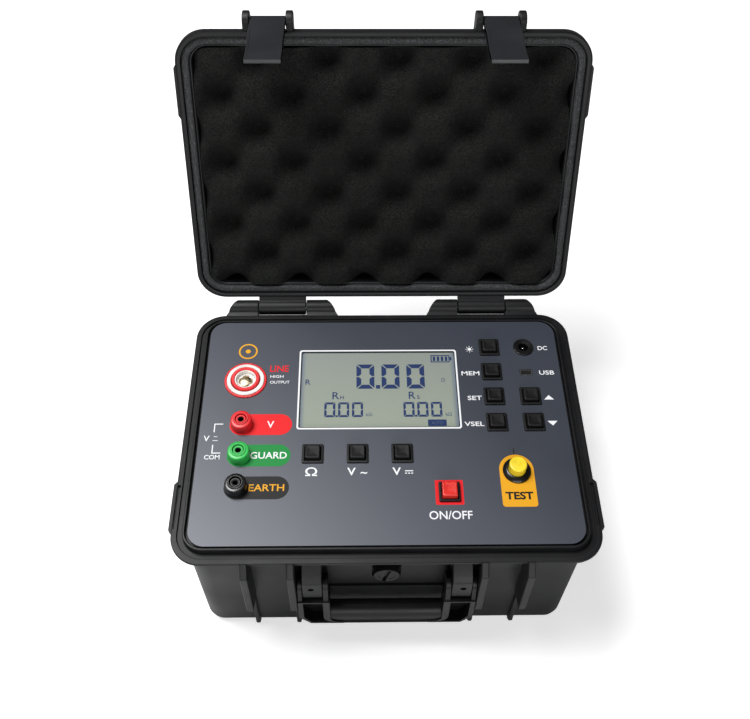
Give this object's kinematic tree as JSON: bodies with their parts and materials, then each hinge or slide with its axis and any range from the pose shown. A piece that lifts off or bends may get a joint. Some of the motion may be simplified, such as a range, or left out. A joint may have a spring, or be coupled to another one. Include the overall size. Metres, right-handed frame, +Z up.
{
  "type": "insulation resistance tester",
  "caption": "Rugged hinged case with a foam-lined lid, folding handle and draw latches; grey instrument panel with display, keys, shrouded sockets, power and test buttons.",
  "frame": {"origin": "centre of the flat underside of the base", "axes": "+Z up out of the panel, +X to the right of a person facing the latches, -Y towards that person, +Y towards the hinge"},
  "size_m": [0.2698, 0.3092, 0.3112],
  "materials": {
    "case_black": "fine moulded texture, satin",
    "latch_slate": "smooth satin",
    "foam_charcoal": "open-cell egg-crate foam",
    "seal_grey": "closed-cell sponge",
    "pin_steel": "ground",
    "panel_grey": "silk-screened overlay film, fine texture",
    "window_clear": "clear",
    "lcd_glass": "reflective liquid-crystal cell",
    "key_black": "satin",
    "red_plastic": "moulded",
    "white_plastic": "moulded",
    "green_plastic": "moulded",
    "black_plastic": "moulded",
    "yellow_plastic": "moulded",
    "contact_brass": "plated",
    "board_green": "solder mask",
    "battery_wrap": "shrink wrap"
  },
  "bodies": {
    "base": {"ac_voltage_switch_body": "black_plastic", "backlight_switch_body": "black_plastic", "base_shell": "case_black", "battery_pack": "battery_wrap", "beeper": "black_plastic", "dc_jack_body": "black_plastic", "dc_jack_pin": "pin_steel", "dc_voltage_switch_body": "black_plastic", "display_module": "lcd_glass", "display_window": "window_clear", "down_switch_body": "black_plastic", "earth_jack_body": "black_plastic", "earth_jack_sleeve": "contact_brass", "guard_jack_body": "green_plastic", "guard_jack_sleeve": "contact_brass", "handle_pin_left": "pin_steel", "handle_pin_right": "pin_steel", "high_voltage_module": "black_plastic", "hinge_pin_left": "pin_steel", "hinge_pin_right": "pin_steel", "line_terminal_body": "red_plastic", "line_terminal_contact": "contact_brass", "line_terminal_insulator": "white_plastic", "line_terminal_shroud": "red_plastic", "main_board": "board_green", "memory_switch_body": "black_plastic", "ohm_switch_body": "black_plastic", "panel_plate": "panel_grey", "power_switch_body": "black_plastic", "set_switch_body": "black_plastic", "test_button_collar": "black_plastic", "up_switch_body": "black_plastic", "usb_socket": "pin_steel", "valve_body": "black_plastic", "volt_jack_body": "red_plastic", "volt_jack_sleeve": "contact_brass", "voltage_select_switch_body": "black_plastic"},
    "lid": {"lid_shell": "case_black", "lid_seal": "seal_grey", "lid_foam": "foam_charcoal", "latch_pin_left": "pin_steel", "latch_pin_right": "pin_steel"},
    "latch_left": {"latch_left": "latch_slate"},
    "latch_right": {"latch_right": "latch_slate"},
    "handle": {"handle": "case_black"},
    "valve_knob": {"valve_knob": "black_plastic"},
    "backlight_key": {"backlight_key_cap": "key_black"},
    "memory_key": {"memory_key_cap": "key_black"},
    "set_key": {"set_key_cap": "key_black"},
    "voltage_select_key": {"voltage_select_key_cap": "key_black"},
    "up_key": {"up_key_cap": "key_black"},
    "down_key": {"down_key_cap": "key_black"},
    "ohm_key": {"ohm_key_cap": "key_black"},
    "ac_voltage_key": {"ac_voltage_key_cap": "key_black"},
    "dc_voltage_key": {"dc_voltage_key_cap": "key_black"},
    "power_button": {"power_button_cap": "red_plastic"},
    "test_stem": {"test_button_stem": "black_plastic"},
    "test_cap": {"test_button_cap": "yellow_plastic"}
  },
  "joints": [
    {"name": "lid_hinge", "type": "hinge", "parent": "base", "child": "lid", "pos_m": [0, 0.1044, 0.1102], "axis": [-1, 0, 0], "range_deg": [-108.8, 0]},
    {"name": "latch_left_pivot", "type": "hinge", "parent": "lid", "child": "latch_left", "pos_m": [-0.073, 0.17776, 0.30305], "axis": [-1, 0, 0], "range_deg": [0, 120]},
    {"name": "latch_right_pivot", "type": "hinge", "parent": "lid", "child": "latch_right", "pos_m": [0.073, 0.17776, 0.30305], "axis": [-1, 0, 0], "range_deg": [0, 120]},
    {"name": "handle_pivot", "type": "hinge", "parent": "base", "child": "handle", "pos_m": [0, -0.095, 0.0805], "axis": [-1, 0, 0], "range_deg": [0, 90]},
    {"name": "valve_turn", "type": "hinge", "parent": "base", "child": "valve_knob", "pos_m": [0, -0.088, 0.0796], "axis": [0, -1, 0], "range_deg": [0, 270]},
    {"name": "backlight_press", "type": "slide", "parent": "base", "child": "backlight_key", "axis": [0, 0, -1], "range_m": [0, 0.0015]},
    {"name": "memory_press", "type": "slide", "parent": "base", "child": "memory_key", "axis": [0, 0, -1], "range_m": [0, 0.0015]},
    {"name": "set_press", "type": "slide", "parent": "base", "child": "set_key", "axis": [0, 0, -1], "range_m": [0, 0.0015]},
    {"name": "voltage_select_press", "type": "slide", "parent": "base", "child": "voltage_select_key", "axis": [0, 0, -1], "range_m": [0, 0.0015]},
    {"name": "up_press", "type": "slide", "parent": "base", "child": "up_key", "axis": [0, 0, -1], "range_m": [0, 0.0015]},
    {"name": "down_press", "type": "slide", "parent": "base", "child": "down_key", "axis": [0, 0, -1], "range_m": [0, 0.0015]},
    {"name": "ohm_press", "type": "slide", "parent": "base", "child": "ohm_key", "axis": [0, 0, -1], "range_m": [0, 0.0015]},
    {"name": "ac_voltage_press", "type": "slide", "parent": "base", "child": "ac_voltage_key", "axis": [0, 0, -1], "range_m": [0, 0.0015]},
    {"name": "dc_voltage_press", "type": "slide", "parent": "base", "child": "dc_voltage_key", "axis": [0, 0, -1], "range_m": [0, 0.0015]},
    {"name": "power_press", "type": "slide", "parent": "base", "child": "power_button", "axis": [0, 0, -1], "range_m": [0, 0.0025]},
    {"name": "test_press", "type": "slide", "parent": "base", "child": "test_stem", "axis": [0, 0, -1], "range_m": [0, 0.004]},
    {"name": "test_lock_turn", "type": "hinge", "parent": "test_stem", "child": "test_cap", "pos_m": [0.0837, -0.036, 0.12], "axis": [0, 0, -1], "range_deg": [0, 90]}
  ]
}
